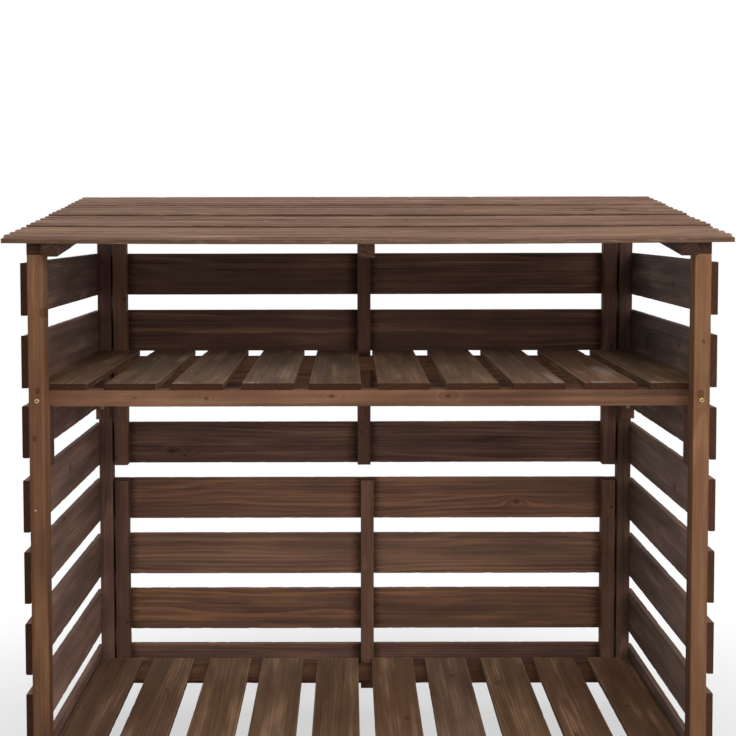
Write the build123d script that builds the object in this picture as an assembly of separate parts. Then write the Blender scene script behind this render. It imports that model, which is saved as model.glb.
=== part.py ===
from build123d import *
from math import cos, radians, sin, tan
import os

# Log store in stained softwood: open front, slatted sides and back, a shelf, a floor and a pent roof.
# Millimetres. X runs along the length, Y from the open front to the back, Z up from the ground.

# Body, measured over the posts
body_width = 1226.0
body_depth = 590.0
post_width = 30.0
post_depth = 30.0
post_head = 14.0  # front post above the top slat

# Wall slats, at the same levels on the sides and the back
slat_width = 95.0
slat_thickness = 12.0
slat_gap = 36.0
slat_count = 8
upper_slat_count = 4  # slats in the upper of the two back panels
foot_height = 45.0  # ground to the lowest slat
raised_slat = ("left", 3)  # one side slat is nailed a little high
raised_slat_lift = 4.0

# Battens of the back panels
batten_width = 30.0
batten_gap = 5.0  # end batten to the post beside it
upper_batten_shift = -2.0  # centre batten, off the middle
lower_batten_shift = 5.0

# Roof frame and ridged roof boards
roof_pitch = 7.9  # degrees, falling to the front
rail_height = 24.0
rafter_width = 30.0
rafter_nose = 17.0  # rafter end in front of the posts
rafter_shift = -5.0  # centre rafter, off the middle
board_count = 4
board_width = 150.0
board_thickness = 12.0
board_gap = 7.0
board_overhang = 20.0  # lowest board in front of the posts
board_end_overhang = 25.0  # board ends beyond the side slats
board_slip = 2.7  # the boards don't lie quite flush at their ends
board_slip_shares = (1.0, 0.75, 0.3, -1.0)  # to the right, highest board first
ridge_count = 5
ridge_pitch = 35.0
edge_ridge = 7.0  # narrow ridge along the lower edge of a board
groove_width = 20.0
groove_depth = 3.8
groove_flank = 1.8  # width of each sloping side of a groove
ridge_round = 1.0

# Shelf and floor, two like platforms
platform_slat_width = 95.0
platform_slat_thickness = 12.0
platform_side_gap = 2.0  # platform end to the side slats
platform_gap_shares = (1.07, 0.88, 1.11, 0.95, 1.02, 1.04, 0.88, 1.19, 0.84)  # gaps along the length
platform_rail_width = 30.0
platform_rail_height = 30.0
shelf_height = 835.0  # ground to the slat tops
floor_height = 117.0
shelf_cleat_height = 112.0
floor_cleat_height = 60.0

# Finish
arris = 1.5  # chamfer along every sawn edge
overrun = 5.0  # how far a cutting shape passes the wood

# Derived places
pitch_angle = radians(roof_pitch)
lowest_trim = edge_ridge + groove_flank
roof_nose = board_overhang + (board_thickness - groove_depth) * sin(pitch_angle)
y_front = roof_nose - (roof_nose + body_depth + slat_thickness) / 2
y_back = y_front + body_depth
x_post = body_width / 2
x_slat = x_post + slat_thickness
x_inner = x_post - post_width
slat_pitch = slat_width + slat_gap
lowest_slat_top = foot_height + slat_width
top_slat_top = lowest_slat_top + (slat_count - 1) * slat_pitch
rake = Axis((0, 0, 0), (0, cos(pitch_angle), sin(pitch_angle)))


def slat_top(number):
    """Height of the top of a slat; number 1 is the highest."""
    return top_slat_top - (number - 1) * slat_pitch


def post_line(y):
    """Height of the raked line that the posts and battens are cut to."""
    return top_slat_top + post_head + (y - y_front) * tan(pitch_angle)


def roof_line(y):
    """Height of the raked plane that carries the roof boards."""
    return post_line(y) + rail_height / cos(pitch_angle)


def bar(x_span, y_span, z_span, grain):
    """A straight sawn bar between two corners, with its long edges eased."""
    length = x_span[1] - x_span[0]
    depth = y_span[1] - y_span[0]
    height = z_span[1] - z_span[0]
    corner = Pos(x_span[0], y_span[0], z_span[0])
    piece = corner * Box(length, depth, height, align=(Align.MIN, Align.MIN, Align.MIN))
    return chamfer(piece.edges().filter_by(grain), arris)


def side_profile(points, x_span, grain):
    """A bar cut to an outline in the side view, with its long edges eased."""
    outline = make_face(Polyline(*[(0, y, z) for y, z in points], close=True))
    piece = Pos(x_span[0], 0, 0) * extrude(outline, x_span[1] - x_span[0], dir=(1, 0, 0))
    return chamfer(piece.edges().filter_by(grain), arris)


def upright(x_span, y_span, foot):
    """A post or batten whose head is cut to the roof pitch."""
    points = [
        (y_span[0], foot),
        (y_span[1], foot),
        (y_span[1], post_line(y_span[1])),
        (y_span[0], post_line(y_span[0])),
    ]
    return side_profile(points, x_span, Axis.Z)


def raked_bar(x_span, y_span):
    """A rail or rafter up the slope, with plumb-cut ends."""
    points = [
        (y_span[0], post_line(y_span[0])),
        (y_span[1], post_line(y_span[1])),
        (y_span[1], roof_line(y_span[1])),
        (y_span[0], roof_line(y_span[0])),
    ]
    return side_profile(points, x_span, rake)


def mirrored(span):
    """The same span on the other side of the middle."""
    return (-span[1], -span[0])


def save(name, *solids):
    """Writes one node; several solids in it don't touch."""
    shape = solids[0] if len(solids) == 1 else Compound(children=list(solids))
    export_step(shape, os.path.join("parts", name + ".step"))


def side_frames():
    """Posts, raked top rails and outer slats of the two side panels."""
    front_span = (y_front, y_front + post_depth)
    back_span = (y_back - post_depth, y_back)
    right_post = (x_inner, x_post)
    right_slat = (x_post, x_slat)
    for side in ("left", "right"):
        post_span = right_post if side == "right" else mirrored(right_post)
        slat_span = right_slat if side == "right" else mirrored(right_slat)
        save(side + "_front_post", upright(post_span, front_span, 0))
        save(side + "_back_post", upright(post_span, back_span, 0))
        save(side + "_top_rail", raked_bar(post_span, (y_front, y_back)))
        for number in range(1, slat_count + 1):
            lift = raised_slat_lift if (side, number) == raised_slat else 0
            top = slat_top(number) + lift
            slat = bar(slat_span, (y_front, y_back), (top - slat_width, top), Axis.Y)
            save(side + "_slat_" + str(number), slat)


def back_panels():
    """Back slats behind the posts, nailed to two rows of three battens."""
    for number in range(1, slat_count + 1):
        top = slat_top(number)
        slat = bar((-x_post, x_post), (y_back, y_back + slat_thickness), (top - slat_width, top), Axis.X)
        save("back_slat_" + str(number), slat)
    y_span = (y_back - post_depth, y_back)
    upper_foot = slat_top(upper_slat_count) - slat_width
    lower_span = (foot_height, slat_top(upper_slat_count + 1))
    end_span = (x_inner - batten_gap - batten_width, x_inner - batten_gap)
    upper = []
    lower = []
    for shift, row in ((upper_batten_shift, upper), (lower_batten_shift, lower)):
        middle_span = (shift - batten_width / 2, shift + batten_width / 2)
        for x_span in (mirrored(end_span), middle_span, end_span):
            if row is upper:
                row.append(upright(x_span, y_span, upper_foot))
            else:
                row.append(bar(x_span, y_span, lower_span, Axis.Z))
    save("upper_back_battens", *upper)
    save("lower_back_battens", *lower)


def platform(name, height, cleat_height, gap_shares):
    """A slatted shelf or floor: two rails on four cleats behind and before the posts, with slats across."""
    front_span = (y_front + post_depth, y_front + post_depth + platform_rail_width)
    rear_span = (y_back - post_depth - platform_rail_width, y_back - post_depth)
    rail_top = height - platform_slat_thickness
    rail_foot = rail_top - platform_rail_height
    x_end = x_post - platform_side_gap
    rails = [bar((-x_end, x_end), span, (rail_foot, rail_top), Axis.X) for span in (front_span, rear_span)]
    save(name + "_rails", *rails)

    cleats = []
    right_cleat = (x_inner, x_post)
    for span in (front_span, rear_span):
        for x_span in (mirrored(right_cleat), right_cleat):
            cleats.append(bar(x_span, span, (rail_foot - cleat_height, rail_foot), Axis.Z))
    save(name + "_cleats", *cleats)

    free_length = 2 * x_end - (len(gap_shares) + 1) * platform_slat_width
    slats = []
    x_from = -x_end
    for gap_share in gap_shares + (0,):
        x_span = (x_from, x_from + platform_slat_width)
        slats.append(bar(x_span, (front_span[0], rear_span[1]), (rail_top, height), Axis.Y))
        x_from = x_span[1] + free_length * gap_share / sum(gap_shares)
    save(name + "_slats", *slats)


def ridged_section():
    """Section of a roof board: a flat underside, and ridges parted by broad shallow grooves on top."""
    section = Rectangle(board_width, board_thickness, align=(Align.MIN, Align.MIN))
    for number in range(ridge_count):
        low = edge_ridge + number * ridge_pitch
        high = low + groove_width
        section -= make_face(
            Polyline(
                (low, board_thickness),
                (low + groove_flank, board_thickness - groove_depth),
                (high - groove_flank, board_thickness - groove_depth),
                (high, board_thickness),
                close=True,
            )
        )
    crests = section.vertices().group_by(Axis.Y)[-1]
    return fillet(crests, ridge_round)


def lowest_section():
    """The lowest board has its first ridge ripped off, so that its front edge is thin."""
    return ridged_section() - Rectangle(2 * lowest_trim, 2 * (board_thickness + overrun))


def roof():
    """Three rafters and the ridged boards laid across them, lowest board at the front."""
    nose_span = (y_front - rafter_nose, y_back)
    right_span = (x_inner - rafter_width, x_inner)
    middle_span = (rafter_shift - rafter_width / 2, rafter_shift + rafter_width / 2)
    save("left_rafter", raked_bar(mirrored(right_span), nose_span))
    save("centre_rafter", raked_bar(middle_span, nose_span))
    save("right_rafter", raked_bar(right_span, nose_span))

    x_end = x_slat + board_end_overhang
    y_edge = y_front - board_overhang
    slope_plane = Plane(origin=(-x_end, y_edge, roof_line(y_edge)), x_dir=rake.direction, z_dir=(1, 0, 0))
    for number in range(1, board_count + 1):
        section = lowest_section() if number == board_count else ridged_section()
        up_slope = (board_count - number) * (board_width + board_gap) - lowest_trim
        slip = board_slip_shares[number - 1] * board_slip
        board = extrude(slope_plane * Pos(up_slope, 0, slip) * section, 2 * x_end)
        save("roof_board_" + str(number), board)


os.makedirs("parts", exist_ok=True)
side_frames()
back_panels()
platform("shelf", shelf_height, shelf_cleat_height, platform_gap_shares)
platform("floor", floor_height, floor_cleat_height, platform_gap_shares[::-1])
roof()
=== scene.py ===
import math
import random
from functools import partial
from itertools import product

import bpy
from mathutils import Matrix, Vector


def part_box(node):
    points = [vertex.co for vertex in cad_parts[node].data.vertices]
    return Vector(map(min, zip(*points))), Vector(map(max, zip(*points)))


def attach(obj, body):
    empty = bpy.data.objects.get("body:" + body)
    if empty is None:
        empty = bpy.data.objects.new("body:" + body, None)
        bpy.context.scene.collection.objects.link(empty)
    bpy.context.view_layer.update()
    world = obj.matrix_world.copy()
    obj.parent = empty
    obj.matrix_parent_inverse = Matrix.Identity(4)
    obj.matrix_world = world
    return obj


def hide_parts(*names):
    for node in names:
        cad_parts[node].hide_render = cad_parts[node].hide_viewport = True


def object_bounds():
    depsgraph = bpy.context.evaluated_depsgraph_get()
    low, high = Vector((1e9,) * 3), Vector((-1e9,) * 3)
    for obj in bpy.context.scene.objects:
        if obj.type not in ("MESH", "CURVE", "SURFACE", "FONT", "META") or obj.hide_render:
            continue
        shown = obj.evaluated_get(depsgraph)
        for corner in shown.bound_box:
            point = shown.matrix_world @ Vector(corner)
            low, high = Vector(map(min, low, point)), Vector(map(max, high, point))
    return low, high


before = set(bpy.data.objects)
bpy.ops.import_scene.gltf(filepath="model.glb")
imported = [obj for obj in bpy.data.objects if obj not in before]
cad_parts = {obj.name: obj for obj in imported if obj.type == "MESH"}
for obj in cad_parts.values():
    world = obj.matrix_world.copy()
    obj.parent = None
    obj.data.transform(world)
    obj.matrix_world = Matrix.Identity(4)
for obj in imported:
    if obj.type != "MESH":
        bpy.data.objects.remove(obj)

cad_low, cad_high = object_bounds()

# Corner posts: four uprights of sawn softwood, 30 mm square, with brown stain brushed on all over.
# Their heads are cut to the fall of the roof.
# The side slats are nailed to them, and the shelf and the floor are bolted to them.

scene = bpy.context.scene
grain_seed = 11
draw = random.Random(grain_seed)
arris = 0.0016
bar_sawing = {"warp": 0.0006, "nick": 0.0012}
post_sawing = {"ring_step": 0.009, "fray": 0.0005, **bar_sawing}
knot_labels = ("knot_1", "knot_2", "knot_3", "knot_4")


def srgb(red, green, blue):
    """A colour as it is read off a screen, 0 to 255, in the linear values that shaders take."""
    shares = [value / 255 for value in (red, green, blue)]
    return tuple(s / 12.92 if s < 0.04045 else ((s + 0.055) / 1.055) ** 2.4 for s in shares) + (1.0,)


def join(tree, value, socket):
    """Links an output to a socket, or sets a plain value there."""
    if isinstance(value, bpy.types.NodeSocket):
        tree.links.new(value, socket)
    else:
        socket.default_value = value


def add(tree, kind, *values, settings=None, **named):
    """Adds a node. Values and links go to its inputs in order, or by name with spaces as underscores."""
    node = tree.nodes.new(kind)
    for key, value in (settings or {}).items():
        setattr(node, key, value)
    pairs = list(zip(node.inputs, values))
    pairs += [(node.inputs[key.replace("_", " ")], value) for key, value in named.items()]
    for socket, value in pairs:
        join(tree, value, socket)
    return node


def calc(tree, operation, *values):
    """Output of one Math node."""
    return add(tree, "ShaderNodeMath", *values, settings={"operation": operation}).outputs[0]


def calc_vector(tree, operation, *values, **named):
    """Output of one Vector Math node."""
    node = add(tree, "ShaderNodeVectorMath", *values, settings={"operation": operation}, **named)
    return node.outputs["Value" if operation == "LENGTH" else "Vector"]


def read(tree, name, kind="FLOAT"):
    """Named attribute, as a field of a geometry tree."""
    settings = {"data_type": kind}
    return add(tree, "GeometryNodeInputNamedAttribute", name, settings=settings).outputs["Attribute"]


def keep(tree, geometry, name, value, kind="FLOAT", domain="POINT"):
    """Stores a field on the geometry under a name that the materials read."""
    settings = {"data_type": kind, "domain": domain}
    node = add(tree, "GeometryNodeStoreNamedAttribute", settings=settings, Geometry=geometry, Name=name,
               Value=value)
    return node.outputs["Geometry"]


def open_tree(name, inputs):
    """A new geometry tree with its named inputs; the first of them is the geometry of places."""
    tree = bpy.data.node_groups.new(name, "GeometryNodeTree")
    tree.interface.new_socket("Geometry", in_out="OUTPUT", socket_type="NodeSocketGeometry")
    for label, kind in inputs:
        tree.interface.new_socket(label, in_out="INPUT", socket_type="NodeSocket" + kind)
    return tree, tree.nodes.new("NodeGroupInput").outputs


def close_tree(tree, geometry, finish):
    """Ends a tree: instances are realized, edges sharper than the limit stay crisp, and the finish is set."""
    crisp_angle = 0.65
    solid = add(tree, "GeometryNodeRealizeInstances", Geometry=geometry).outputs[0]
    smooth = add(tree, "GeometryNodeSetShadeSmooth", Geometry=solid, Shade_Smooth=True).outputs[0]
    angle = add(tree, "GeometryNodeInputMeshEdgeAngle").outputs["Unsigned Angle"]
    sharp = calc(tree, "GREATER_THAN", angle, crisp_angle)
    crisp = add(tree, "GeometryNodeSetShadeSmooth", settings={"domain": "EDGE"}, Geometry=smooth,
                Selection=sharp, Shade_Smooth=False).outputs[0]
    done = add(tree, "GeometryNodeSetMaterial", Geometry=crisp, Material=finish).outputs[0]
    add(tree, "NodeGroupOutput", done)


def timber_tree():
    """Sweeps a section along the grain and sets such a board on each place, with small faults of its own."""
    end_grain_limit = 0.7
    spread_of_noise = 53.0
    warp_scale = 1.6
    chip_scale = 46.0
    chip_low = 0.56
    chip_high = 0.78
    fray_scale = 210.0
    past_tip = 1.0001
    tree, given = open_tree("sawn_timber", (
        ("Places", "Geometry"), ("Section", "Object"), ("Length", "Float"), ("Ring Step", "Float"),
        ("Low Slope", "Float"), ("High Slope", "Float"), ("Turn", "Rotation"), ("Sag", "Float"),
        ("Warp", "Float"), ("Nick", "Float"), ("Fray", "Float"), ("Finish", "Material"),
    ))
    times = partial(calc, tree, "MULTIPLY")

    def noise(scale, detail, output):
        return add(tree, "ShaderNodeTexNoise", Vector=own_spot, Scale=scale, Detail=detail).outputs[output]

    half = times(given["Length"], 0.5)
    low_end = add(tree, "ShaderNodeCombineXYZ", Z=times(half, -1.0)).outputs[0]
    high_end = add(tree, "ShaderNodeCombineXYZ", Z=half).outputs[0]
    line = add(tree, "GeometryNodeCurvePrimitiveLine", Start=low_end, End=high_end).outputs[0]
    grain_line = add(tree, "GeometryNodeResampleCurve", settings={"mode": "LENGTH"}, Curve=line,
                     Length=given["Ring Step"]).outputs[0]
    outline = add(tree, "GeometryNodeObjectInfo", Object=given["Section"]).outputs["Geometry"]
    section = add(tree, "GeometryNodeMeshToCurve", Mesh=outline).outputs[0]
    board = add(tree, "GeometryNodeCurveToMesh", Curve=grain_line, Profile_Curve=section,
                Fill_Caps=True).outputs[0]

    spot = add(tree, "GeometryNodeInputPosition").outputs[0]
    parts = add(tree, "ShaderNodeSeparateXYZ", spot).outputs
    along = calc(tree, "DIVIDE", parts["Z"], half)
    tip = calc(tree, "TRUNC", times(along, past_tip))
    board = keep(tree, board, "tip", tip)
    normal = add(tree, "GeometryNodeInputNormal").outputs[0]
    cap = calc(tree, "ABSOLUTE", add(tree, "ShaderNodeSeparateXYZ", normal).outputs["Z"])
    board = keep(tree, board, "end_grain", calc(tree, "GREATER_THAN", cap, end_grain_limit), domain="FACE")
    share = calc(tree, "MULTIPLY_ADD", along, 0.5, 0.5)
    slope = add(tree, "ShaderNodeMix", Factor=share, A=given["Low Slope"], B=given["High Slope"]).outputs[0]
    belly = calc(tree, "MULTIPLY_ADD", times(along, along), given["Sag"], times(given["Sag"], -1.0))
    lean = times(slope, parts["Y"])
    cut = add(tree, "ShaderNodeCombineXYZ", Y=belly, Z=lean).outputs[0]
    board = add(tree, "GeometryNodeSetPosition", Geometry=board, Offset=cut).outputs[0]
    board = keep(tree, board, "grain", spot, kind="FLOAT_VECTOR")

    placed = add(tree, "GeometryNodeInstanceOnPoints", Points=given["Places"], Instance=board,
                 Rotation=given["Turn"]).outputs[0]
    boards = add(tree, "GeometryNodeRealizeInstances", Geometry=placed).outputs[0]
    pith = read(tree, "pith", "FLOAT_VECTOR")
    boards = keep(tree, boards, "grain", calc_vector(tree, "ADD", read(tree, "grain", "FLOAT_VECTOR"), pith),
                  kind="FLOAT_VECTOR")

    own_spot = calc_vector(tree, "ADD", spot, calc_vector(tree, "SCALE", pith, Scale=spread_of_noise))
    drift = calc_vector(tree, "SUBTRACT", noise(warp_scale, 1.0, "Color"), (0.5, 0.5, 0.5))
    drift = calc_vector(tree, "SCALE", drift, Scale=times(given["Warp"], 2.0))
    chip = add(tree, "ShaderNodeMapRange", Value=noise(chip_scale, 2.0, "Fac"), From_Min=chip_low,
               From_Max=chip_high).outputs[0]
    chip = times(times(chip, read(tree, "arris")), given["Nick"])
    inward = calc_vector(tree, "SCALE", normal, Scale=times(chip, -1.0))
    ragged = times(times(noise(fray_scale, 2.0, "Fac"), read(tree, "tip")), given["Fray"])
    back_in = add(tree, "ShaderNodeCombineXYZ", Z=times(ragged, -1.0)).outputs[0]
    back_in = add(tree, "FunctionNodeRotateVector", Vector=back_in, Rotation=given["Turn"]).outputs[0]
    faults = calc_vector(tree, "ADD", drift, calc_vector(tree, "ADD", inward, back_in))
    boards = add(tree, "GeometryNodeSetPosition", Geometry=boards, Offset=faults).outputs[0]
    close_tree(tree, boards, given["Finish"])
    return tree


def section_object(points, wear, soak):
    """A closed outline, each point with its wear, and with the stain that soaks in and painted shade, below
    zero if rubbed off.
    """
    count = len(points)
    mesh = bpy.data.meshes.new("section")
    mesh.from_pydata([(x, y, 0.0) for x, y in points], [(i, (i + 1) % count) for i in range(count)], [])
    for label, values in (("arris", wear), ("soak", soak)):
        mesh.attributes.new(label, "FLOAT", "POINT").data.foreach_set("value", values)
    return bpy.data.objects.new("section", mesh)


def sawn_section(width, thickness, edge_soak, flat_points):
    """Rectangle with rounded arrises and points on its broad flats; its narrow edges may be darkened, painted
    shade in the gaps between boards together with stain that soaks into sawn edges.
    """
    arc_points = 4
    corner_wear = [0.0, 0.6, 1.0, 1.0, 0.6, 0.0]
    points = []
    wear = []
    soak = []
    for quarter in range(4):
        turned = Matrix.Rotation(quarter * math.pi / 2, 2)
        half = Vector((width, thickness) if quarter % 2 == 0 else (thickness, width)) / 2
        hub = half - Vector((arris, arris))
        corner = [(half.x, hub.y - arris)]
        for step in range(arc_points):
            angle = step / (arc_points - 1) * math.pi / 2
            corner.append((hub.x + arris * math.cos(angle), hub.y + arris * math.sin(angle)))
        corner.append((hub.x - arris, half.y))
        points += [turned @ Vector(point) for point in corner]
        wear += corner_wear
        soaked_and_shaded = [edge_soak] * 3 + [0.0] * 3
        soak += soaked_and_shaded if quarter % 2 == 0 else soaked_and_shaded[::-1]
        if quarter % 2 == 0:
            shares = [1 - 2 * (step + 1) / (flat_points + 1) for step in range(flat_points)]
            points += [turned @ Vector(((hub.x - arris) * share, half.y)) for share in shares]
            wear += [0.0] * flat_points
            soak += [0.0] * flat_points
    return section_object(points, wear, soak)


def run_tree(tree, places, inputs):
    """Puts the tree on the places, takes the result as a plain mesh and drops the modifier."""
    identifiers = {item.name: item.identifier for item in tree.interface.items_tree if item.in_out == "INPUT"}
    maker = places.modifiers.new(tree.name, "NODES")
    maker.node_group = tree
    for label, value in inputs.items():
        maker[identifiers[label]] = value
    evaluated = places.evaluated_get(bpy.context.evaluated_depsgraph_get())
    mesh = bpy.data.meshes.new_from_object(evaluated)
    places.modifiers.remove(maker)
    for vertex in mesh.vertices:
        vertex.co = [min(max(c, low), high) for c, low, high in zip(vertex.co, cad_low, cad_high)]
    mesh.materials.clear()
    mesh.materials.append(inputs["Finish"])
    mesh.polygons.foreach_set("material_index", [0] * len(mesh.polygons))
    places.data = mesh
    return places


def points_object(name, spots):
    """An object with one loose point for each place."""
    mesh = bpy.data.meshes.new(name)
    mesh.from_pydata(spots, [], [])
    piece = bpy.data.objects.new(name, mesh)
    scene.collection.objects.link(piece)
    return piece


def note(piece, name, vectors):
    """Gives each place of a piece a vector under a name."""
    flat = [component for vector in vectors for component in vector]
    piece.data.attributes.new(name, "FLOAT_VECTOR", "POINT").data.foreach_set("vector", flat)


def solids(node):
    """Boxes of the separate solids of a node, which stand apart along X, Y or Z."""
    touching = 1e-5
    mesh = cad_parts[node].data
    stretches = []
    for axis in range(3):
        merged = []
        ends = [[mesh.vertices[i].co[axis] for i in face.vertices] for face in mesh.polygons]
        for low, high in sorted((min(end), max(end)) for end in ends):
            if merged and low < merged[-1][1] + touching:
                merged[-1][1] = max(high, merged[-1][1])
            else:
                merged.append([low, high])
        stretches.append(merged)
    return [tuple(map(Vector, zip(*spans))) for spans in product(*stretches)]


def grain_turn(grain, across):
    """Rotation that takes a board's width, thickness and grain from X, Y and Z to where they lie."""
    across = Vector(across)
    grain = Vector(grain)
    return Matrix((across, grain.cross(across), grain)).transposed().to_euler()


def saw(name, centres, size, turn, finish, section=None, knots=(), tones=(), knot_share=0.5, low_slope=0.0,
        high_slope=0.0, sag=0.0, ring_step=0.008, warp=0.0008, nick=0.002, fray=0.001, edge_soak=0.0,
        flat_points=0):
    """Cuts one board of width, thickness and length for each centre, each from its own place in a log."""
    pith_aside_share = 0.8
    pith_depths = (0.012, 0.07)
    log_length = 40.0
    knot_spread_share = 0.45
    knot_size_shares = (0.06, 0.12)
    knotty_width = 0.06
    least_knots = 2
    no_knot = 1e-5
    width, thickness, length = size
    piece = points_object(name, centres)
    pith = []
    looks = []
    knot_rows = [[] for label in knot_labels]
    for number in range(len(centres)):
        heart = Vector((draw.uniform(-pith_aside_share, pith_aside_share) * width,
                        draw.choice((-1, 1)) * draw.uniform(*pith_depths), draw.uniform(0.0, log_length)))
        pith.append(heart)
        tone = tones[number] if number < len(tones) else draw.uniform(-1.0, 1.0)
        looks.append((tone, draw.random(), draw.random()))
        wanted = list(knots[number]) if number < len(knots) else []
        while len(wanted) < least_knots:
            size_of_knot = draw.uniform(*knot_size_shares) * min(width, knotty_width)
            wanted.append((draw.uniform(-knot_spread_share, knot_spread_share) * width,
                           draw.uniform(-0.5, 0.5) * length,
                           size_of_knot if draw.random() < knot_share else 0.0))
        wanted += [(0.0, 0.0, 0.0)] * (len(knot_labels) - len(wanted))
        for (x, z, radius), rows in zip(wanted, knot_rows):
            rows.append((x + heart.x, z + heart.z, max(radius, no_knot)))
    note(piece, "pith", pith)
    note(piece, "look", looks)
    for label, rows in zip(knot_labels, knot_rows):
        note(piece, label, rows)
    return run_tree(timber, piece, {
        "Section": section or sawn_section(width, thickness, edge_soak, flat_points), "Length": length,
        "Ring Step": ring_step, "Low Slope": low_slope, "High Slope": high_slope, "Turn": turn, "Sag": sag,
        "Warp": warp, "Nick": nick, "Fray": fray, "Finish": finish,
    })


def open_material(name):
    """A new material and its empty tree."""
    material = bpy.data.materials.new(name)
    material.use_nodes = True
    material.node_tree.nodes.clear()
    return material, material.node_tree


def stained_wood(name, deep, body, pale, end, rings=150.0, ring_share=0.34, streaks=0.7, mottle=1.0,
                 scuff=0.1, splinter=0.25, edge_wear=0.05, knots=2):
    """Stained softwood as a solid block: wavy year rings about the pith, with knots, stain, wear and painted
    shade.
    """
    log_taper = 0.012
    rings_round_knot = 2.0
    plain_level = 0.37
    body_stop = 0.45
    rubbed_share = 0.75
    knot_shape = (1.0, 0.75, 0.0)
    push_shape = (0.42, 0.17, 0.0)
    plain_hue = 0.4845
    plain_saturation = 0.93
    knot_tint = (0.66, 0.44, 0.3)
    soaked_and_shaded_tint = (0.38, 0.34, 0.31)
    rubbed_tint = (1.0, 1.25, 1.62)
    splinter_tint = (1.35, 1.35, 1.3)
    sheen = 0.06
    deep, body, pale, end = (srgb(*colour) for colour in (deep, body, pale, end))
    material, tree = open_material(name)
    times = partial(calc, tree, "MULTIPLY")
    weigh = partial(calc, tree, "MULTIPLY_ADD")

    def attribute(label, output="Vector"):
        return add(tree, "ShaderNodeAttribute", settings={"attribute_name": label}).outputs[output]

    def split(vector):
        return add(tree, "ShaderNodeSeparateXYZ", vector).outputs

    def centred(value):
        return calc(tree, "SUBTRACT", value, 0.5)

    def length_of(vector, stretch):
        return calc_vector(tree, "LENGTH", calc_vector(tree, "MULTIPLY", vector, stretch))

    def noise(across, along, detail):
        scaled = calc_vector(tree, "MULTIPLY", grain, (across, across, along))
        return add(tree, "ShaderNodeTexNoise", Vector=scaled, Scale=1.0, Detail=detail).outputs

    def sway(across, along, detail, reach):
        offset = calc_vector(tree, "SUBTRACT", noise(across, along, detail)["Color"], (0.5, 0.5, 0.5))
        return calc_vector(tree, "SCALE", offset, Scale=reach)

    def ramp(value, low, high):
        settings = {"interpolation_type": "SMOOTHSTEP"}
        node = add(tree, "ShaderNodeMapRange", settings=settings, Value=value, From_Min=low, From_Max=high)
        return node.outputs[0]

    def blend(kind, share, first, second):
        node = add(tree, "ShaderNodeMix", settings={"data_type": "RGBA", "blend_type": kind})
        sockets = {socket.identifier: socket for socket in (*node.inputs, *node.outputs)}
        for label, value in (("Factor_Float", share), ("A_Color", first), ("B_Color", second)):
            join(tree, value, sockets[label])
        return sockets["Result_Color"]

    def tint(colour, shares):
        return tuple(c * share for c, share in zip(colour, shares)) + (1.0,)

    grain = attribute("grain")
    look = split(attribute("look"))
    place = split(grain)

    # Knots, which push the year rings aside
    knot_push = 0.0
    knot_core = 0.0
    knot_rim = 0.0
    torn = centred(noise(420.0, 260.0, 1.0)["Fac"])
    for label in knot_labels[:knots]:
        knot = split(attribute(label))
        aside = calc(tree, "DIVIDE", calc(tree, "SUBTRACT", place["X"], knot["X"]), knot["Z"])
        onward = calc(tree, "DIVIDE", calc(tree, "SUBTRACT", place["Z"], knot["Y"]), knot["Z"])
        flat = add(tree, "ShaderNodeCombineXYZ", aside, onward).outputs[0]
        reach = weigh(torn, 0.7, length_of(flat, knot_shape))
        core = calc(tree, "SUBTRACT", 1.0, ramp(reach, 0.55, 1.2))
        far = length_of(flat, push_shape)
        push = calc(tree, "POWER", 2.0, times(times(far, far), -2.0))
        knot_push = calc(tree, "ADD", knot_push, push)
        knot_core = calc(tree, "MAXIMUM", knot_core, core)
        knot_rim = calc(tree, "MAXIMUM", knot_rim, times(core, ramp(reach, 0.45, 0.85)))

    # Year rings, each with late wood of its own strength
    swayed = calc_vector(tree, "ADD", sway(11.0, 2.4, 2.0, 0.034), sway(46.0, 4.0, 1.0, 0.005))
    bent = calc_vector(tree, "ADD", grain, swayed)
    radius = weigh(place["Z"], log_taper, length_of(bent, (1.0, 1.0, 0.0)))
    phase = weigh(radius, rings, times(knot_push, rings_round_knot))
    year = calc(tree, "FRACT", phase)
    late = calc(tree, "SUBTRACT", ramp(year, 0.3, 0.82), ramp(year, 0.88, 1.0))
    luck = add(tree, "ShaderNodeTexWhiteNoise", W=calc(tree, "FLOOR", phase),
               settings={"noise_dimensions": "1D"}).outputs["Value"]
    late = times(late, weigh(luck, 0.85, 0.15))

    # How light the stain comes out, from deep to pale
    streak = noise(290.0, 1.3, 2.0)["Fac"]
    band = noise(46.0, 1.1, 2.0)["Fac"]
    fibre = noise(1300.0, 28.0, 1.0)["Fac"]
    cloud = noise(32.0, 5.0, 3.0)
    patch = cloud["Fac"]
    shown = ramp(noise(14.0, 2.6, 1.0)["Fac"], 0.32, 0.62)
    rubbed = ramp(weigh(patch, 0.6, times(streak, 0.4)), 0.52, 0.66)
    level = weigh(times(late, shown), ring_share, plain_level)
    for field, weight in (
        (rubbed, scuff), (centred(streak), streaks), (centred(band), 0.5 * mottle),
        (centred(patch), 0.7 * mottle), (centred(fibre), 0.24), (look["X"], 0.13),
        (attribute("arris", "Fac"), edge_wear), (knot_push, -0.05),
    ):
        level = weigh(field, weight, level)
    colours = add(tree, "ShaderNodeValToRGB", level)
    stops = colours.color_ramp.elements
    stops[0].color = deep
    stops[1].color = pale
    stops.new(body_stop).color = body
    hue = weigh(split(cloud["Color"])["Y"], 0.024, weigh(look["Z"], 0.007, plain_hue))
    warm = add(tree, "ShaderNodeHueSaturation", Saturation=weigh(look["Y"], 0.14, plain_saturation),
               Hue=hue, Color=colours.outputs["Color"]).outputs[0]
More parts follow.
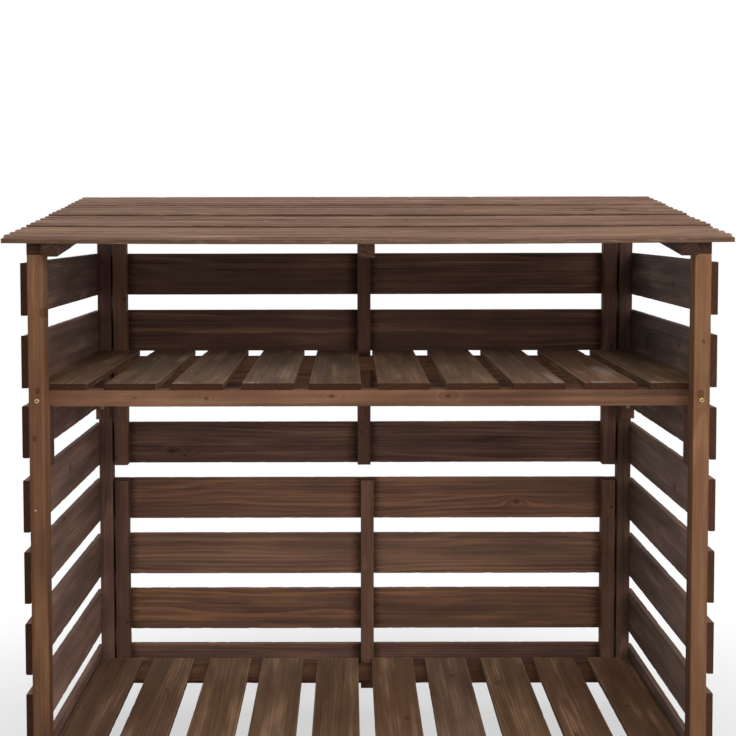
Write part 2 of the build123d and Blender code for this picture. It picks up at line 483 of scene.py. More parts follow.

    # Dark knots, pooled stain with painted shade, rubbed and splintered places, and end grain
    knot_share = weigh(knot_rim, 0.4, times(knot_core, 0.45))
    knotted = blend("MIX", knot_share, warm, tint(deep, knot_tint))
    soak = attribute("soak", "Fac")
    ragged = centred(noise(240.0, 26.0, 2.0)["Fac"])
    pooled_and_shaded = times(times(ramp(weigh(ragged, 1.1, soak), 0.3, 0.62), soak), 0.92)
    soaked_and_shaded = blend("MIX", pooled_and_shaded, knotted, tint(deep, soaked_and_shaded_tint))
    rub = times(soak, -1.0)
    bare = times(ramp(weigh(centred(streak), 3.0, rub), 0.1, 0.7), ramp(rub, 0.0, 0.4))
    worn = blend("MIX", times(bare, rubbed_share), soaked_and_shaded, tint(pale, rubbed_tint))
    tip = calc(tree, "ABSOLUTE", attribute("tip", "Fac"))
    broken = ramp(weigh(ragged, 1.5, tip), 0.78, 1.02)
    splintered = blend("MIX", times(broken, splinter), worn, tint(pale, splinter_tint))
    end_light = weigh(look["X"], 0.15, weigh(fibre, 1.0, weigh(late, 0.4, 0.4)))
    end_light = weigh(centred(streak), 1.1, end_light)
    end_shade = add(tree, "ShaderNodeCombineXYZ", end_light, end_light, end_light).outputs[0]
    end_face = attribute("end_grain", "Fac")
    colour = blend("MIX", end_face, splintered, blend("MULTIPLY", 1.0, end, end_shade))

    height = weigh(streak, 0.8, times(fibre, 0.7))
    bump = add(tree, "ShaderNodeBump", Strength=0.5, Distance=0.0005, Height=height).outputs[0]
    rough = calc(tree, "MAXIMUM", end_face, weigh(streak, 0.3, 0.55))
    shader = add(tree, "ShaderNodeBsdfPrincipled", Base_Color=colour, Roughness=rough, Normal=bump)
    shader.inputs["Specular IOR Level"].default_value = sheen
    add(tree, "ShaderNodeOutputMaterial", shader.outputs[0])
    return material


def knots_on(spots, centre, size, across, grain):
    """Those of the known knots that fall on a board's face, as places across it and along its grain."""
    found = []
    for spot, radius in spots:
        offset = Vector(spot) - centre
        aside = offset.dot(across)
        onward = offset.dot(grain)
        if abs(aside) < size[0] / 2 and abs(onward) < size[2] / 2:
            found.append((aside, onward, radius))
    return found[:len(knot_labels)]


def fade_tone(piece, axis, first, last, warmth=None):
    """The tone of a timber drifts from one of its ends to the other; its warmth may be given too."""
    spots = [vertex.co[axis] for vertex in piece.data.vertices]
    low = min(spots)
    length = max(spots) - low
    for spot, look in zip(spots, piece.data.attributes["look"].data):
        look.vector[0] = first + (last - first) * (spot - low) / length
        if warmth is not None:
            look.vector[1] = warmth


def shade_inside(piece, reach, tone=0.0, warmth=None):
    """Painted shade: the faces that look into the store, nearer to its middle than the reach, take a tone or
    warmth of their own.
    """
    looks = piece.data.attributes["look"].data
    for vertex in piece.data.vertices:
        if abs(vertex.co.x) < reach:
            look = looks[vertex.index].vector
            look[0] += tone
            if warmth is not None:
                look[1] = warmth


def settle(piece, slot, *nodes):
    """The piece stands for its nodes and rides on the one body; its slot is not used."""
    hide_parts(*nodes)
    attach(piece, "root")


timber = timber_tree()
post_stain = stained_wood("post_stain", (84, 58, 44), (124, 89, 67), (160, 121, 92), (60, 43, 34),
                          streaks=0.4, knots=3)
# Painted shade: a darker, greyer copy of the post stain, for the back posts, the battens and the cleats,
# which stand further inside
stain_with_painted_shade = stained_wood("stain_with_painted_shade", (71, 52, 43), (110, 81, 68), (145, 111, 92), (84, 57, 43),
                           streaks=0.5)
# Painted light and shade: each post's tone drifts from foot to head as the light along it does; the front
# posts are darker towards the foot
foot_and_head_light = {
    "left_front_post": (-2.0, 0.3), "right_front_post": (-0.6, 1.6),
    "left_back_post": (0.3, 0.1), "right_back_post": (-0.6, -0.8),
}
# Painted shade: the inner face of the right front post is darker, as the light falls from the right
inner_face_shade = {"right_front_post": -1.5}
face_skin = 0.001
post_knots = {
    "left_front_post": [((-0.585, 0, 0.967), 0.0065), ((-0.603, 0, 0.740), 0.004),
                        ((-0.597, 0, 0.826), 0.005)],
    "right_front_post": [((0.596, 0, 0.819), 0.006), ((0.600, 0, 0.914), 0.003)],
}
front_low, front_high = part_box("left_front_post")
back_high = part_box("left_back_post")[1]
roof_slope = (back_high.z - front_high.z) / (back_high.y - front_high.y)
for node in foot_and_head_light:
    low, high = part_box(node)
    width, thickness, tallest = high - low
    length = tallest - thickness / 2 * roof_slope
    centre = Vector(((low.x + high.x) / 2, (low.y + high.y) / 2, length / 2))
    size = (width, thickness, length)
    knots = knots_on(post_knots.get(node, ()), centre, size, Vector((1, 0, 0)), Vector((0, 0, 1)))
    finish = post_stain if "front" in node else stain_with_painted_shade
    post = saw(node + "_timber", [centre], size, grain_turn((0, 0, 1), (1, 0, 0)), finish, knots=[knots],
               high_slope=roof_slope, **post_sawing)
    fade_tone(post, 2, *foot_and_head_light[node])
    shade_inside(post, min(abs(low.x), abs(high.x)) + face_skin, tone=inner_face_shade.get(node, 0.0))
    settle(post, "frame_timber", node)

# Top rails: one raked bar on the two posts of each side, of the same sawn softwood and stain as the posts.
# Both ends are cut plumb, so that end grain shows at the front above each post.
# It is nailed down into the posts.

rail_stain = stained_wood("rail_stain", (70, 48, 38), (104, 74, 58), (140, 104, 82), (76, 54, 43))
rake_angle = math.atan(roof_slope)
rake = Vector((0, math.cos(rake_angle), math.sin(rake_angle)))


def raked_bar(name, node, finish, tone, drop=0.0):
    """A bar up the roof's fall with plumb ends, from the node's box; its front end may have dropped."""
    low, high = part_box(node)
    width, depth, rise = high - low
    height = (rise - depth * roof_slope) * math.cos(rake_angle)
    centre = (low + high) / 2 - Vector((0, 0, drop / 2))
    bar_turn = grain_turn((rake * depth + Vector((0, 0, drop))).normalized(), (-1, 0, 0))
    return saw(name, [centre], (width, height, depth / math.cos(rake_angle)), bar_turn, finish, tones=[tone],
               low_slope=roof_slope, high_slope=roof_slope, **post_sawing)


for side, tone in (("left", -0.6), ("right", 0.0)):
    rail = raked_bar(side + "_top_rail_timber", side + "_top_rail", rail_stain, tone)
    settle(rail, "frame_timber", side + "_top_rail")

# Side slats: eight thin sawn boards on the outside of the posts of each side, with open gaps between them.
# Their stain is like the posts'; painted shade greys their inner faces, and painted light and shade sit on
# their ends. They are nailed to both posts.
# One small bright pin is driven into the left front post.

# Painted light and shade: the end grain of the left slats is darker and of the right ones lighter, as the
# light falls from the right; the two stains differ only there
slat_ends_lit_and_shaded = {"left": (52, 33, 24), "right": (67, 45, 33)}
slat_stains_lit_and_shaded = {}
for side, end in slat_ends_lit_and_shaded.items():
    slat_stains_lit_and_shaded[side] = stained_wood(side + "_slat_stain_and_end_shade", (82, 60, 50), (128, 97, 82),
                                     (176, 136, 112), end, ring_share=0.16, streaks=0.3, mottle=1.2,
                                     scuff=0.2, splinter=0.1)
slat_tones = {
    "left": (-0.2, 0.0, 0.1, 0.7, 0.5, 0.3, 0.6, 0.0),
    "right": (-0.1, -0.1, 0.3, 1.2, 0.6, 0.3, 0.5, 0.2),
}
# Painted light and shade: each slat is lighter towards the front and darker towards the back posts, where the
# corners lie in shade
slat_light_and_shade_drift = {"left": (0.8, -0.4), "right": (1.2, -1.0)}
# Painted shade: the inner faces of the slats are greyer, those on the right most of all
inner_shade_warmth = {"left": -0.5, "right": -1.6}
outer_warmth = 0.4


def straight_boards(name, node, grain, across, finish, spots=(), shift=(0, 0, 0), **faults):
    """The straight boards of a node, from the boxes of its solids, with the knots that lie on them."""
    turn = grain_turn(grain, across)
    boxes = solids(node)
    extent = boxes[0][1] - boxes[0][0]
    grain = Vector(grain)
    across = Vector(across)
    size = [abs(extent.dot(axis)) for axis in (across, grain.cross(across), grain)]
    centres = [(low + high) / 2 + Vector(shift) for low, high in boxes]
    knots = [knots_on(spots, centre, size, across, grain) for centre in centres]
    return saw(name, centres, size, turn, finish, knots=knots, **faults)


def turned_head(profile, sides):
    """Head of a fixing: rings of radius and height, some with corners and the painted shade of a socket, from
    foot to middle.
    """
    spots = []
    recess_shade = []
    for radius, height, *rest in profile:
        corners, hollow_shade = rest or (0, 0.0)
        for step in range(sides):
            angle = 2 * math.pi * step / sides
            reach = radius
            if corners:
                part = 2 * math.pi / corners
                reach = radius * math.cos(part / 2) / math.cos(angle % part - part / 2)
            spots.append((reach * math.cos(angle), reach * math.sin(angle), height))
            recess_shade.append(hollow_shade)
    spots.append((0.0, 0.0, height))
    recess_shade.append(hollow_shade)
    faces = [tuple(reversed(range(sides)))]
    for ring in range(len(profile) - 1):
        for step in range(sides):
            near = ring * sides + step
            next_one = ring * sides + (step + 1) % sides
            faces.append((near, next_one, next_one + sides, near + sides))
    last = (len(profile) - 1) * sides
    faces += [(last + step, last + (step + 1) % sides, len(spots) - 1) for step in range(sides)]
    mesh = bpy.data.meshes.new("head")
    mesh.from_pydata(spots, [], faces)
    mesh.attributes.new("recess_shade", "FLOAT", "POINT").data.foreach_set("value", recess_shade)
    return bpy.data.objects.new("head", mesh)


def fixing_tree():
    """Sets one head on each place, facing as the place says and turned about its own axis."""
    tree, given = open_tree("fixings", (("Places", "Geometry"), ("Head", "Object"), ("Size", "Float"),
                                        ("Finish", "Material")))
    head = add(tree, "GeometryNodeObjectInfo", Object=given["Head"]).outputs["Geometry"]
    placed = add(tree, "GeometryNodeInstanceOnPoints", Points=given["Places"], Instance=head,
                 Rotation=read(tree, "facing", "FLOAT_VECTOR"), Scale=given["Size"]).outputs[0]
    spun = add(tree, "GeometryNodeRotateInstances", Instances=placed,
               Rotation=read(tree, "spin", "FLOAT_VECTOR")).outputs[0]
    close_tree(tree, spun, given["Finish"])
    return tree


def drive(name, places, head, finish):
    """Drives a fixing in at each place; a place is a spot and the direction that the head faces."""
    piece = points_object(name, [spot for spot, facing in places])
    note(piece, "facing", [Vector(facing).to_track_quat("Z", "Y").to_euler() for spot, facing in places])
    note(piece, "spin", [(0.0, 0.0, draw.uniform(0.0, 2 * math.pi)) for place in places])
    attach(run_tree(fixings, piece, {"Head": head, "Size": 1.0, "Finish": finish}), "root")


def dull_metal(name, bare, tarnish, roughness):
    """Metal with patches of tarnish or stain, and painted shade in its socket."""
    speckle_scale = 700.0
    metal_share = 0.85
    tarnish_contrast = 2.4
    tarnish_start = -0.9
    material, tree = open_material(name)
    spot = add(tree, "ShaderNodeTexCoord").outputs["Object"]
    cloud = add(tree, "ShaderNodeTexNoise", Vector=spot, Scale=speckle_scale, Detail=3.0).outputs["Fac"]
    # Painted shade: the bolt's hex socket takes the tarnish colour, as though it lay in shade
    recess_shade = add(tree, "ShaderNodeAttribute", settings={"attribute_name": "recess_shade"}).outputs["Fac"]
    share = calc(tree, "MAXIMUM", recess_shade, calc(tree, "MULTIPLY_ADD", cloud, tarnish_contrast, tarnish_start))
    tint = add(tree, "ShaderNodeValToRGB", share)
    tint.color_ramp.elements[0].color = srgb(*bare)
    tint.color_ramp.elements[1].color = srgb(*tarnish)
    rough = calc(tree, "MULTIPLY_ADD", cloud, 0.3, roughness)
    bump = add(tree, "ShaderNodeBump", Strength=0.25, Distance=0.0002, Height=cloud).outputs[0]
    shader = add(tree, "ShaderNodeBsdfPrincipled", Base_Color=tint.outputs["Color"], Roughness=rough,
                 Normal=bump)
    shader.inputs["Metallic"].default_value = metal_share
    add(tree, "ShaderNodeOutputMaterial", shader.outputs[0])
    return material


slat_knots = [
    ((-0.613, 0.301, 1.003), 0.005), ((-0.613, 0.293, 0.622), 0.006), ((-0.613, 0.240, 0.530), 0.005),
    ((0.613, 0.192, 0.885), 0.005), ((0.613, 0.236, 1.003), 0.004), ((0.613, 0.178, 0.748), 0.006),
    ((0.613, 0.213, 0.598), 0.007),
]
slat_knots = [((x, front_low.y + behind, z), radius) for (x, behind, z), radius in slat_knots]
fixings = fixing_tree()
nail_head = turned_head(((0.0021, -0.0008), (0.0022, 0.0001), (0.0018, 0.0003), (0.0008, 0.0004)), sides=10)
nail_steel = dull_metal("nail_steel", (122, 112, 102), (58, 42, 34), 0.42)
nail_spread = 0.028
nail_stray = 0.004


def nail_pair(middle, aside, facing):
    """Two nails either side of a middle point, each a little off its mark."""
    pair = []
    for end in (-1, 1):
        stray = Vector([draw.uniform(-nail_stray, nail_stray) * (1 - abs(f)) for f in facing])
        pair.append((middle + Vector(aside) * end * nail_spread + stray, facing))
    return pair


side_nails = []
for side, facing in (("left", (-1, 0, 0)), ("right", (1, 0, 0))):
    spots = [spot for spot in slat_knots if spot[0][0] * facing[0] > 0]
    for number, tone in enumerate(slat_tones[side], 1):
        node = "%s_slat_%d" % (side, number)
        slat = straight_boards(node + "_board", node, (0, 1, 0), (0, 0, 1), slat_stains_lit_and_shaded[side], spots=spots)
        front_tone, back_tone = [tone + drift for drift in slat_light_and_shade_drift[side]]
        fade_tone(slat, 1, front_tone, back_tone, outer_warmth)
        low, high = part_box(node)
        shade_inside(slat, abs(low.x + high.x) / 2, warmth=inner_shade_warmth[side])
        settle(slat, "wall_slats", node)
        face = high.x if side == "right" else low.x
        for post_box in (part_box(side + "_front_post"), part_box(side + "_back_post")):
            middle = Vector((face, (post_box[0].y + post_box[1].y) / 2, (low.z + high.z) / 2))
            side_nails += nail_pair(middle, (0, 0, 1), facing)
drive("side_slat_nails", side_nails, nail_head, nail_steel)
pin_head = turned_head(((0.0012, -0.0008), (0.0013, 0.0002), (0.0010, 0.0004)), sides=10)
bright_steel = dull_metal("bright_steel", (226, 220, 210), (150, 136, 122), 0.3)
pin_spot = Vector((-0.6033, front_low.y, 0.6092))
drive("post_pin", [(pin_spot, (0, -1, 0))], pin_head, bright_steel)

# Back slats: eight long boards of the same stock across the back, behind the posts and the battens.
# The upper four and the lower four are nailed up as two panels, which are then fixed to the back posts.

back_stain = stained_wood("back_stain", (70, 50, 43), (114, 85, 73), (164, 121, 94), (67, 46, 36),
                          rings=105.0, ring_share=0.5, streaks=0.75)
back_tones = (-0.2, -0.2, 0.0, -0.1, 1.7, 1.5, 1.2, 0.8)
back_knots = [((-0.450, 0, 0.596), 0.006), ((-0.419, 0, 0.587), 0.003), ((0.354, 0, 0.476), 0.006)]
upper_slat_count = 4
darkening_reach = 0.032
darkening_depth = 0.72
inner_skin = 0.004
nail_room = 0.0005


def darken_beside_bars(piece, bars):
    """A slat is darker on its front face beside the bars that stand against it."""
    values = []
    bar_face = bars[0][1].y
    for vertex in piece.data.vertices:
        gap = min(max(low.x - vertex.co.x, vertex.co.x - high.x, 0.0) for low, high in bars)
        aside = max(0.0, 1.0 - gap / darkening_reach)
        values.append(darkening_depth * aside if vertex.co.y < bar_face + inner_skin else 0.0)
    piece.data.attributes["soak"].data.foreach_set("value", values)


back_nails = []
for number, tone in enumerate(back_tones, 1):
    node = "back_slat_%d" % number
    slat = straight_boards(node + "_board", node, (1, 0, 0), (0, 0, 1), back_stain, spots=back_knots,
                           shift=(0, -nail_room, 0), tones=[tone], knot_share=0.0)
    battens = solids("upper_back_battens" if number <= upper_slat_count else "lower_back_battens")
    bars = battens + [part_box("left_back_post"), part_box("right_back_post")]
    darken_beside_bars(slat, bars)
    settle(slat, "wall_slats", node)
    low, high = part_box(node)
    for bar_low, bar_high in bars:
        middle = Vector(((bar_low.x + bar_high.x) / 2, high.y - nail_room, (low.z + high.z) / 2))
        back_nails += nail_pair(middle, (0, 0, 1), (0, 1, 0))
drive("back_slat_nails", back_nails, nail_head, nail_steel)

# Battens: three square uprights in front of the slats of each back panel, of the same stock as the posts.
# The slats are nailed to them from behind. The heads of the upper ones are cut to the fall of the roof.

upper_batten_tones = (2.0, -0.3, 0.0)
lower_batten_tones = (0.0, 1.4, 0.5)
upper = solids("upper_back_battens")
extent = upper[0][1] - upper[0][0]
length = extent.z - extent.y / 2 * roof_slope
centres = [Vector(((low.x + high.x) / 2, (low.y + high.y) / 2, low.z + length / 2)) for low, high in upper]
battens = saw("upper_back_battens_timbers", centres, (extent.x, extent.y, length),
              grain_turn((0, 0, 1), (1, 0, 0)), stain_with_painted_shade, tones=upper_batten_tones, high_slope=roof_slope,
              **bar_sawing)
settle(battens, "frame_timber", "upper_back_battens")
battens = straight_boards("lower_back_battens_timbers", "lower_back_battens", (0, 0, 1), (1, 0, 0),
                          stain_with_painted_shade, tones=lower_batten_tones, **bar_sawing)
settle(battens, "frame_timber", "lower_back_battens")

# Shelf and floor: two like platforms, each a pair of square rails on four cleats, with ten slats across.
# The cleats are bolted behind the posts, the rails rest on them, and the slats are nailed down from above.

bearer_stain = stained_wood("bearer_stain", (77, 55, 43), (117, 84, 66), (158, 117, 91), (58, 40, 31),
                            ring_share=0.2, streaks=0.45, knots=4)
platform_stain = stained_wood("platform_stain", (86, 63, 47), (130, 100, 78), (180, 144, 115), (68, 44, 31),
                              ring_share=0.24, streaks=0.4, scuff=0.28, splinter=0.8,
                              edge_wear=0.3)
# Painted shade: the narrow side faces of the slats are darker, for the shade in the gaps between them,
# together with stain that soaks deeper into sawn edges
slat_edge_soak = 0.55
slat_flat_points = 7
top_skin = 0.002
worn_places = (
    (-0.395, 0.400, 0.012, 0.080), (-0.345, 0.032, 0.030, 0.040), (-0.215, 0.032, 0.025, 0.030),
    (0.356, 0.060, 0.034, 0.150), (0.425, 0.030, 0.030, 0.045), (0.468, 0.190, 0.032, 0.110),
    (0.527, 0.030, 0.026, 0.040),
)
rail_knots = [
    ((-0.068, 0, 0.812), 0.004), ((0.145, 0, 0.8115), 0.004), ((-0.297, 0, 0.808), 0.0035),
    ((-0.428, 0, 0.809), 0.0025),
]
board_knots = [
    ((-0.333, 0.174, 0.835), 0.006), ((-0.326, 0.054, 0.835), 0.005), ((-0.045, 0.160, 0.835), 0.005),
    ((0.178, 0.127, 0.835), 0.005), ((0.335, 0.198, 0.835), 0.007), ((0.424, 0.218, 0.835), 0.006),
    ((0.460, 0.217, 0.835), 0.005),
]
board_knots = [((x, front_low.y + behind, z), radius) for (x, behind, z), radius in board_knots]
board_tones = (-0.5, -0.8, 0.0, 0.1, -0.8, 0.0, -0.1, -0.3, 0.1, -0.5)


def rub_off(piece, places):
    """Stain is rubbed off round some places on top of the slats; a place has its reach across and along."""
    top = max(vertex.co.z for vertex in piece.data.vertices)
    soak = piece.data.attributes["soak"].data
    for vertex in piece.data.vertices:
        for x, behind, across, along in places:
            off = math.hypot((vertex.co.x - x) / across, (vertex.co.y - front_low.y - behind) / along)
            if off < 1 and vertex.co.z > top - top_skin:
                soak[vertex.index].value = off - 1


# The last three rings of the bolt head form its hex socket, which carries painted shade
bolt_head = turned_head((
    (0.0040, -0.0008), (0.0042, 0.0008), (0.0039, 0.0013), (0.0034, 0.0016), (0.0024, 0.0016),
    (0.0021, 0.0014, 6, 0.6), (0.0020, 0.0003, 6, 1.0), (0.0008, 0.0002, 0, 1.0),
), sides=24)
yellow_zinc = dull_metal("yellow_zinc", (214, 190, 130), (74, 54, 34), 0.3)
bolt_rise = 0.0275
bearer_tones = (1.2, -1.5)
bearer_warmth = 0.7
board_nails = []
bolts = []
for place in ("shelf", "floor"):
    rails = straight_boards(place + "_rails_timbers", place + "_rails", (1, 0, 0), (0, 0, 1), bearer_stain,
                            spots=rail_knots, **bar_sawing)
    fade_tone(rails, 0, *bearer_tones, bearer_warmth)
    settle(rails, "frame_timber", place + "_rails")
    cleats = straight_boards(place + "_cleats_timbers", place + "_cleats", (0, 0, 1), (1, 0, 0), stain_with_painted_shade,
                             **bar_sawing)
    settle(cleats, "frame_timber", place + "_cleats")
    slats = straight_boards(place + "_slats_boards", place + "_slats", (0, 1, 0), (-1, 0, 0), platform_stain,
                            spots=board_knots if place == "shelf" else (), tones=board_tones,
                            edge_soak=slat_edge_soak, flat_points=slat_flat_points)
    if place == "shelf":
        rub_off(slats, worn_places)
    settle(slats, "platform_slats", place + "_slats")
    for (low, high), (rail_low, rail_high) in product(solids(place + "_slats"), solids(place + "_rails")):
        middle = Vector(((low.x + high.x) / 2, (rail_low.y + rail_high.y) / 2, high.z))
        board_nails += nail_pair(middle, (1, 0, 0), (0, 0, 1))
    rail_low, rail_high = solids(place + "_rails")[0]
    for node in ("left_front_post", "right_front_post"):
        low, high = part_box(node)
        bolts.append((Vector(((low.x + high.x) / 2, low.y, (rail_low.z + rail_high.z) / 2)), (0, -1, 0)))
    for low, high in solids(place + "_cleats"):
        behind_front_post = low.y < 0
        spot = Vector(((low.x + high.x) / 2, high.y if behind_front_post else low.y, low.z + bolt_rise))
        bolts.append((spot, (0, 1 if behind_front_post else -1, 0)))
drive("platform_nails", board_nails, nail_head, nail_steel)
drive("platform_bolts", bolts, bolt_head, yellow_zinc)

# Rafters: three bars up the fall of the roof, one inside each top rail and one in the middle.
# Their plumb ends reach out in front of the posts. The middle one has sunk a little at the front.

roof_sag = 0.0032
for place, tone, drop in (("left", -0.9, 0.0), ("centre", -1.3, roof_sag), ("right", -1.7, 0.0)):
    node = place + "_rafter"
    rafter = raked_bar(node + "_timber", node, rail_stain, tone, drop)
    settle(rafter, "frame_timber", node)

# Roof boards: four broad boards along the whole length, planed to ridges parted by shallow grooves on top.
# They are nailed through the grooves to the rails and rafters. The lowest has its first ridge ripped off.

roof_stain = stained_wood("roof_stain", (96, 68, 53), (144, 112, 92), (182, 146, 122), (90, 64, 50),
                          streaks=0.85, mottle=0.6)
board_thickness = 0.012
ridge_count = 5
ridge_pitch = 0.035
edge_ridge = 0.007
groove_width = 0.020
groove_depth = 0.0038
groove_flank = 0.0018
ridge_round = 0.0006
board_cups = (0.0008, 0.0018, 0.0026, 0.0026)
sag_shares = (0.0, 0.3, 0.6, 0.9)
roof_tones = (-0.5, -1.3, -1.0, -0.4)
roof_warmth = 0.2
# Painted shade: the ripped front edge, the lower and upper edges of each board and the beds of the grooves
# are darker, for the shade on front faces, in the joints and in the grooves, together with stain that soaks
# in there
ripped_edge_shade_and_soak = 0.64
lower_edge_soak = 0.42
groove_shade_and_soak = 0.5
roof_warp = 0.0004
roof_nick = 0.0008
roof_fray = 0.0006
nailed_grooves = (1, 3)
roof_nails = []


def roof_board_span(node):
    """Down-slope and up-slope edge of a board's underside, as Y and Z in the plane on top of the rafters."""
    low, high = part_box(node)
    rafter_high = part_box("left_rafter")[1]
    y_low = rafter_high.y - (rafter_high.z - low.z) / roof_slope
    z_high = rafter_high.z - (rafter_high.y - high.y) * roof_slope
    return Vector((0, y_low, low.z)), Vector((0, high.y, z_high))


def ridged_section(width, full_width, cup):
    """Flat underside, and ridges that sink towards the upper edge; a ripped board lacks its lower edge."""
    ripped = full_width - width
    bed = board_thickness - groove_depth
    # Across, height, wear, and stain soaking in with painted shade, of each point, from the upper edge to the
    # lower
    rows = [(full_width, 0.0, 0.5, 1.0), (full_width, bed, 0.5, 1.0)]
    for number in reversed(range(ridge_count)):
        stop = edge_ridge + number * ridge_pitch
        start = max(stop - ridge_pitch + groove_width, 0.0)
        crest = [
            (stop + groove_flank, bed, 0.0), (stop, board_thickness - ridge_round, 0.6),
            (stop - ridge_round, board_thickness, 1.0), (start + ridge_round, board_thickness, 1.0),
            (start, board_thickness - ridge_round, 0.6), (start - groove_flank, bed, 0.0),
        ]
        for across, height, worn in crest:
            stain_and_shade = lower_edge_soak if across <= ridge_round else groove_shade_and_soak if height == bed else 0.0
            if across >= ripped:
                rows.append((across, height, worn, stain_and_shade))
    if rows[-1][0] > ripped:
        rows.append((ripped, bed, 0.6, ripped_edge_shade_and_soak))
    rows.append((ripped, 0.0, 0.5, ripped_edge_shade_and_soak if ripped > groove_flank else 1.0))
    middle = (full_width + ripped) / 2
    points = []
    for across, height, worn, stain_and_shade in rows:
        sunk = cup * across / full_width if height else 0.0
        points.append((across - middle, height - sunk - board_thickness / 2))
    return section_object(points, [row[2] for row in rows], [row[3] for row in rows])


full_low, full_high = roof_board_span("roof_board_1")
full_width = (full_high - full_low).length
lowest_edge = roof_board_span("roof_board_4")[0]
roof_knots = (
    (-0.467, 0.497, 0.007), (0.341, 0.566, 0.008), (0.470, 0.374, 0.009), (0.535, 0.374, 0.009),
    (-0.169, 0.252, 0.008), (0.075, 0.218, 0.006), (0.245, 0.130, 0.005), (-0.070, 0.060, 0.004),
)
roof_knots = [(lowest_edge + rake * up + Vector((x, 0, 0)), radius) for x, up, radius in roof_knots]
for number, (cup, share, tone) in enumerate(zip(board_cups, sag_shares, roof_tones), 1):
    node = "roof_board_%d" % number
    low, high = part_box(node)
    down, up = roof_board_span(node)
    width = (up - down).length
    upward = Vector((0, -rake.z, rake.y))
    centre = (down + up) / 2 + upward * board_thickness / 2 + Vector(((low.x + high.x) / 2, 0, 0))
    size = (width, board_thickness, high.x - low.x)
    sag = share * roof_sag
    knots = knots_on(roof_knots, centre, size, rake, Vector((1, 0, 0)))
    board = saw(node + "_board", [centre], size, grain_turn((1, 0, 0), rake), roof_stain, knots=[knots],
                section=ridged_section(width, full_width, cup), sag=sag, warp=roof_warp, nick=roof_nick,
                fray=roof_fray)
    fade_tone(board, 0, tone, tone, roof_warmth)
    settle(board, "roof_boards", node)
    for bar in ("left_top_rail", "left_rafter", "centre_rafter", "right_rafter", "right_top_rail"):
        bar_low, bar_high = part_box(bar)
        x = (bar_low.x + bar_high.x) / 2
        sunk = sag * (1 - (2 * x / (high.x - low.x)) ** 2)
        for groove in nailed_grooves:
            bed = edge_ridge + groove * ridge_pitch + groove_width / 2
            rise = board_thickness - groove_depth - sunk - cup * bed / full_width
            spot = down + rake * (bed + width - full_width) + upward * rise
            spot += Vector((x + draw.uniform(-nail_stray, nail_stray), 0, 0))
            spot += rake * draw.uniform(-nail_stray, nail_stray)
            roof_nails.append((spot, upward))
drive("roof_nails", roof_nails, nail_head, nail_steel)

# Studio: a plain pale floor, a white surround for the camera and six large soft lamps.
# The lamps are at a level at which the stains render about as they are written.

floor_reach = 40.0
floor_grey = 0.86
glow_from = 0.6
glow_to = 1.7
least_glow = 0.6
glow_shape = (1.0, 1.4, 0.0)
sky_light = 0.24


def background_rays(tree):
    """One for the rays that see the white background: the camera's, and those off shiny or clear faces."""
    rays = add(tree, "ShaderNodeLightPath").outputs
    bounced = calc(tree, "MAXIMUM", rays["Is Glossy Ray"], rays["Is Transmission Ray"])
    return calc(tree, "MAXIMUM", rays["Is Camera Ray"], bounced)


floor_mesh = bpy.data.meshes.new("studio_floor")
floor_corners = [(x * floor_reach, y * floor_reach, 0.0) for x, y in ((-1, -1), (1, -1), (1, 1), (-1, 1))]
floor_mesh.from_pydata(floor_corners, [], [(0, 1, 2, 3)])
studio_floor = bpy.data.objects.new("studio_floor", floor_mesh)
scene.collection.objects.link(studio_floor)
floor_paint, floor_tree = open_material("floor_paint")
floor_matt = add(floor_tree, "ShaderNodeBsdfDiffuse", Color=(floor_grey,) * 3 + (1.0,)).outputs[0]
floor_glow = add(floor_tree, "ShaderNodeEmission").outputs[0]
floor_spot = add(floor_tree, "ShaderNodeTexCoord").outputs["Object"]
floor_spot = calc_vector(floor_tree, "MULTIPLY", floor_spot, glow_shape)
floor_fade = add(floor_tree, "ShaderNodeMapRange", settings={"interpolation_type": "SMOOTHSTEP"},
                 Value=calc_vector(floor_tree, "LENGTH", floor_spot), From_Min=glow_from, From_Max=glow_to,
                 To_Min=least_glow, To_Max=1.0)
floor_seen = calc(floor_tree, "MULTIPLY", background_rays(floor_tree), floor_fade.outputs[0])
floor_mix = add(floor_tree, "ShaderNodeMixShader", floor_seen, floor_matt, floor_glow).outputs[0]
add(floor_tree, "ShaderNodeOutputMaterial", floor_mix)
floor_mesh.materials.append(floor_paint)

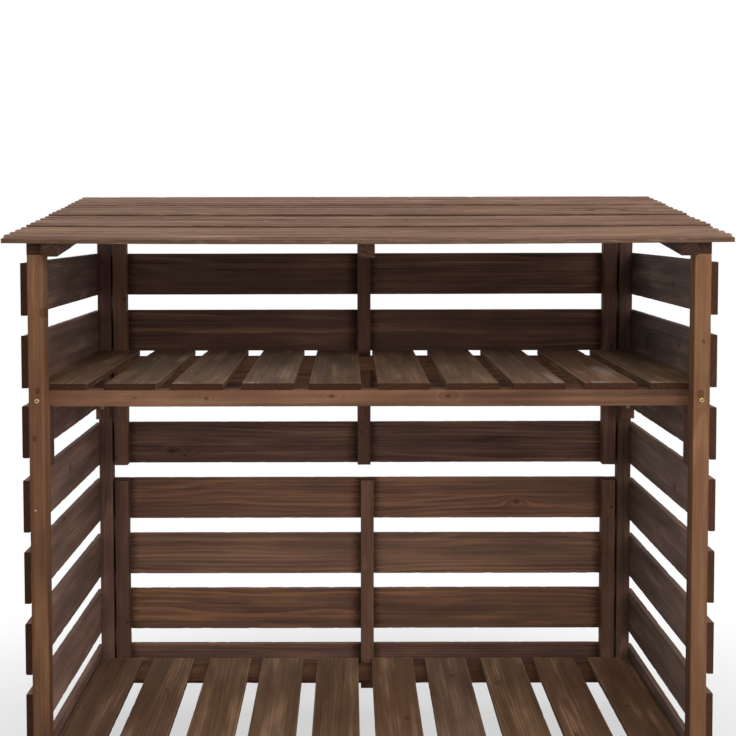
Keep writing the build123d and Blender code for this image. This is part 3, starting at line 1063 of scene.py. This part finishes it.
surround = bpy.data.worlds.new("surround")
surround.use_nodes = True
sky = surround.node_tree
sky.nodes.clear()
dim = add(sky, "ShaderNodeBackground", Color=(1.0, 1.0, 1.0, 1.0), Strength=sky_light).outputs[0]
white = add(sky, "ShaderNodeBackground", Color=(1.0, 1.0, 1.0, 1.0), Strength=1.0).outputs[0]
sky_mix = add(sky, "ShaderNodeMixShader", background_rays(sky), dim, white).outputs[0]
add(sky, "ShaderNodeOutputWorld", sky_mix)
scene.world = surround

aim_share = 0.6
aim = Vector((0, 0, cad_high.z * aim_share))
# Name, place, size and power of each lamp
lamps = (
    ("low_right", (2.2, -2.4, 1.2), 1.4, 19.0),
    ("high_right", (2.0, -2.6, 2.9), 1.6, 30.0),
    ("front", (0.0, -3.2, 2.9), 2.0, 36.0),
    ("left", (-2.4, -2.6, 1.4), 1.4, 7.0),
    ("top", (0.2, -0.4, 4.2), 3.0, 26.0),
    ("behind", (-0.8, 3.4, 2.2), 2.6, 30.0),
)
for name, spot, size, power in lamps:
    lamp = bpy.data.lights.new(name + "_lamp", "AREA")
    lamp.shape = "SQUARE"
    lamp.size = size
    lamp.energy = power
    holder = bpy.data.objects.new(name + "_lamp", lamp)
    holder.location = spot
    holder.rotation_euler = (aim - Vector(spot)).to_track_quat("-Z", "Y").to_euler()
    scene.collection.objects.link(holder)

# Camera: stands about two metres in front of the posts, a little above the top slats and left of the middle.
# It looks slightly down; the shift gives the crop of the photograph.

camera_left = 0.0356
camera_distance = 2.0029
camera_above_slats = 0.0714
camera_pitch = math.radians(2.490)
camera_roll = math.radians(0.093)
photo_size = 736
focal_pixels = 1120.2
axis_pixel = (349.3, 271.1)
eye = bpy.data.cameras.new("eye")
eye.sensor_width = 36.0
eye.lens = eye.sensor_width * focal_pixels / photo_size
eye.shift_x = 0.5 - axis_pixel[0] / photo_size
eye.shift_y = axis_pixel[1] / photo_size - 0.5
camera = bpy.data.objects.new("camera", eye)
slat_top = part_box("left_slat_1")[1].z
camera.location = (-camera_left, front_low.y - camera_distance, slat_top + camera_above_slats)
level = Matrix.Rotation(math.pi / 2 - camera_pitch, 4, "X")
camera.rotation_euler = (level @ Matrix.Rotation(-camera_roll, 4, "Z")).to_euler()
scene.collection.objects.link(camera)
scene.camera = camera
scene.view_settings.view_transform = "Standard"
